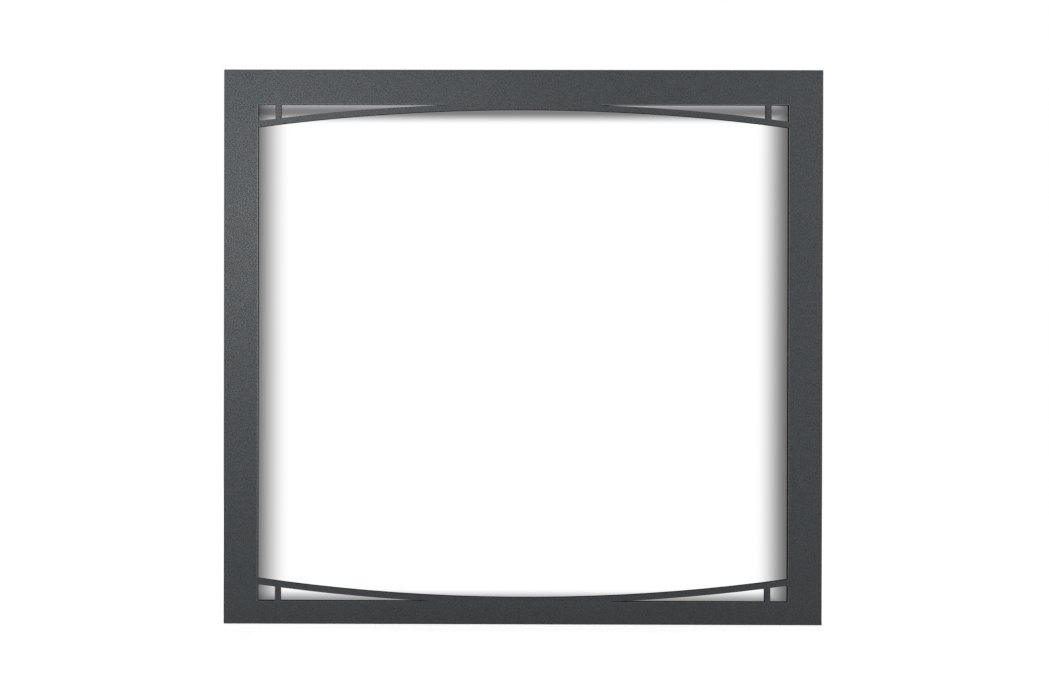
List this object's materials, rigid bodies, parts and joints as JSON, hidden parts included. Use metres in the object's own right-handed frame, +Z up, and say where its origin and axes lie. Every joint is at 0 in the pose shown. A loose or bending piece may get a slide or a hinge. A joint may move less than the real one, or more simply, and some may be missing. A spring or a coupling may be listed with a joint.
{
  "type": "decorative fireplace front",
  "caption": "Flat charcoal steel front that frames a fireplace opening, with arched strips along its top and bottom rails and hooks and magnets behind to hang it.",
  "frame": {"origin": "middle of the bottom edge, in the plane of the rear edges that seats against the fireplace", "axes": "+X to the right seen from the front, +Y to the back, +Z up"},
  "size_m": [0.914, 0.0458, 0.847],
  "materials": {
    "charcoal_paint": "metallic charcoal powder coat with a fine mottled texture",
    "black_paint": "satin black powder coat",
    "zinc_sheet": "zinc-plated steel sheet",
    "zinc_fastener": "bright zinc-plated fastener",
    "rivet_steel": "dull steel rivet",
    "nickel_cup": "nickel-plated steel cup",
    "ferrite": "ground ferrite"
  },
  "bodies": {
    "front": {"bottom_arch": "charcoal_paint", "bottom_left_cleat": "zinc_sheet", "bottom_left_post": "charcoal_paint", "bottom_rail": "charcoal_paint", "bottom_return": "black_paint", "bottom_right_cleat": "zinc_sheet", "bottom_right_post": "charcoal_paint", "flange_nuts": "zinc_fastener", "hook_washers": "zinc_fastener", "left_magnet_bracket": "zinc_sheet", "left_magnet_cup": "nickel_cup", "left_return": "black_paint", "left_ring_magnet": "ferrite", "left_stile": "charcoal_paint", "magnet_nuts": "zinc_fastener", "magnet_screws": "zinc_fastener", "right_magnet_bracket": "zinc_sheet", "right_magnet_cup": "nickel_cup", "right_return": "black_paint", "right_ring_magnet": "ferrite", "right_stile": "charcoal_paint", "rivets": "rivet_steel", "top_arch": "charcoal_paint", "top_left_cleat": "zinc_sheet", "top_left_post": "charcoal_paint", "top_rail": "charcoal_paint", "top_return": "black_paint", "top_right_cleat": "zinc_sheet", "top_right_post": "charcoal_paint", "weld_studs": "zinc_fastener"},
    "left_hook": {"left_hanger_hook": "zinc_sheet"},
    "right_hook": {"right_hanger_hook": "zinc_sheet"}
  },
  "joints": [
    {"name": "left_hook_slide", "type": "slide", "parent": "front", "child": "left_hook", "axis": [0, 0, 1], "range_m": [-0.006, 0.006]},
    {"name": "right_hook_slide", "type": "slide", "parent": "front", "child": "right_hook", "axis": [0, 0, 1], "range_m": [-0.006, 0.006]}
  ]
}
